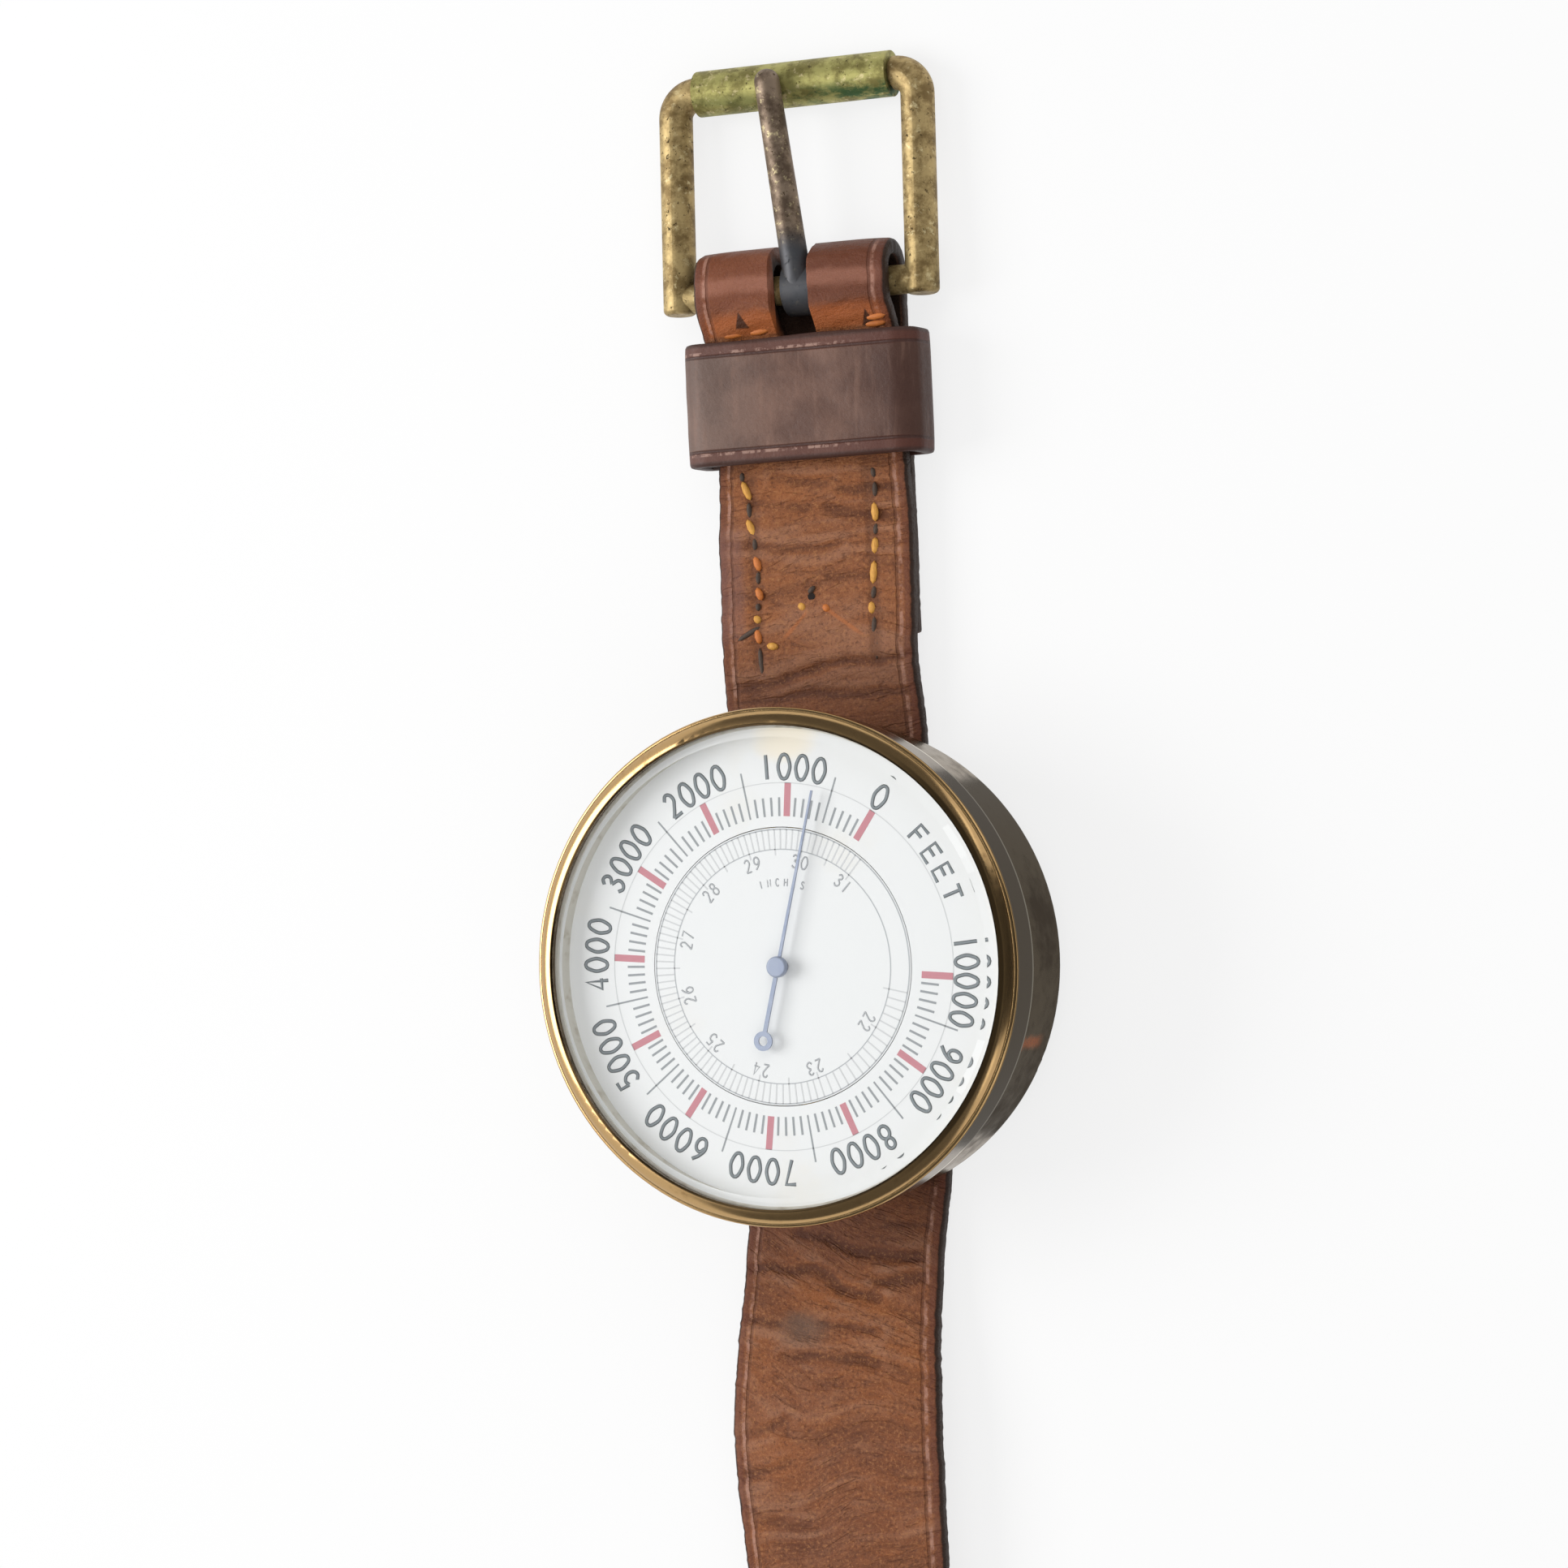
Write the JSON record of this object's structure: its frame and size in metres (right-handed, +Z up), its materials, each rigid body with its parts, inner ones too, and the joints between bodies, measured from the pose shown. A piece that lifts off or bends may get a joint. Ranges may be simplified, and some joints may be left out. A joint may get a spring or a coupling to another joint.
{
  "type": "wrist altimeter",
  "caption": "Pocket-aneroid style wrist altimeter with a turning bezel and height scale, on a leather strap with a roller buckle; shows height above ground from air pressure.",
  "frame": {"origin": "on the dial's axis, at the underside of the bridge that carries the strap", "axes": "+Z up out of the dial, +Y along the strap to the buckle, +X to three o'clock"},
  "size_m": [0.0635, 0.2788, 0.0253],
  "materials": {
    "bezel_brass": "worn polish",
    "case_brass": "dull, tarnished",
    "movement_brass": "satin",
    "capsule_metal": "satin",
    "steel": "satin",
    "blued_steel": "blued",
    "dial_enamel": "matt enamel",
    "silvered_ring": "silvered",
    "glass": "clear, bevelled",
    "strap_leather": "worn, oiled",
    "keeper_leather": "smooth, tooled",
    "buckle_brass": "patinated",
    "roller_brass": "patinated, greenish",
    "prong_steel": "worn, dark"
  },
  "bodies": {
    "case_body": {"case": "case_brass", "strap_bridge": "case_brass", "case_screws": "steel", "base_plate": "movement_brass", "capsule": "capsule_metal", "capsule_nut": "movement_brass", "spring_bracket": "movement_brass", "main_spring": "blued_steel", "spring_clamp": "movement_brass", "clamp_screws": "steel", "rocker_cocks": "movement_brass", "cock_screws": "steel", "lower_pillars": "movement_brass", "lower_bar": "movement_brass", "upper_pillars": "movement_brass", "upper_bar": "movement_brass", "bar_screws": "steel", "chain": "steel", "hairspring": "blued_steel", "hairspring_stud": "movement_brass", "inner_dial": "dial_enamel", "strap": "strap_leather", "keeper": "keeper_leather"},
    "bezel_body": {"bezel": "bezel_brass", "glass": "glass", "spacer_ring": "silvered_ring", "altitude_ring": "dial_enamel", "bezel_wire": "steel"},
    "pointer_body": {"centre_arbor": "steel", "pointer": "blued_steel"},
    "lever_body": {"lever": "movement_brass", "compensating_strip": "steel", "lever_screw": "steel", "connecting_link": "steel"},
    "rocker_body": {"rocker": "steel"},
    "adjuster_body": {"adjusting_screw": "steel"},
    "buckle_body": {"buckle_frame": "buckle_brass"},
    "roller_body": {"buckle_roller": "roller_brass"},
    "prong_body": {"buckle_prong": "prong_steel"}
  },
  "joints": [
    {"name": "bezel_turn", "type": "hinge", "parent": "case_body", "child": "bezel_body", "pos_m": [0, 0, 0.0212], "axis": [0, 0, 1], "continuous": true},
    {"name": "pointer_swing", "type": "hinge", "parent": "case_body", "child": "pointer_body", "pos_m": [0, 0, 0.0212], "axis": [0, 0, 1], "range_deg": [-26.5, 266.5], "deforming": ["hairspring", "chain"]},
    {"name": "rocker_swing", "type": "hinge", "parent": "case_body", "child": "rocker_body", "pos_m": [0.02, 0, 0.011], "axis": [0, -1, 0], "range_deg": [-36, 4]},
    {"name": "lever_swing", "type": "hinge", "parent": "case_body", "child": "lever_body", "pos_m": [-0.0186, 0, 0.01245], "axis": [0, -1, 0], "range_deg": [-0.3, 2.4], "deforming": ["main_spring", "capsule"]},
    {"name": "adjusting_screw_turn", "type": "hinge", "parent": "case_body", "child": "adjuster_body", "pos_m": [-0.0218, 0, 0.005], "axis": [0, 0, 1], "range_deg": [-360, 360]},
    {"name": "buckle_swing", "type": "hinge", "parent": "case_body", "child": "buckle_body", "pos_m": [-0.0008, 0.0848, 0.00425], "axis": [1, 0, 0], "range_deg": [-60, 45]},
    {"name": "roller_turn", "type": "hinge", "parent": "buckle_body", "child": "roller_body", "pos_m": [-0.0008, 0.11087, 0.00295], "axis": [1, 0, 0], "continuous": true},
    {"name": "prong_swing", "type": "hinge", "parent": "buckle_body", "child": "prong_body", "pos_m": [-0.0008, 0.0848, 0.00425], "axis": [1, 0, 0], "range_deg": [0, 60]}
  ],
  "couplings": [
    {"joint": "rocker_swing", "follows": "pointer_swing", "ratio": -0.133},
    {"joint": "lever_swing", "follows": "pointer_swing", "ratio": 0.0087}
  ]
}
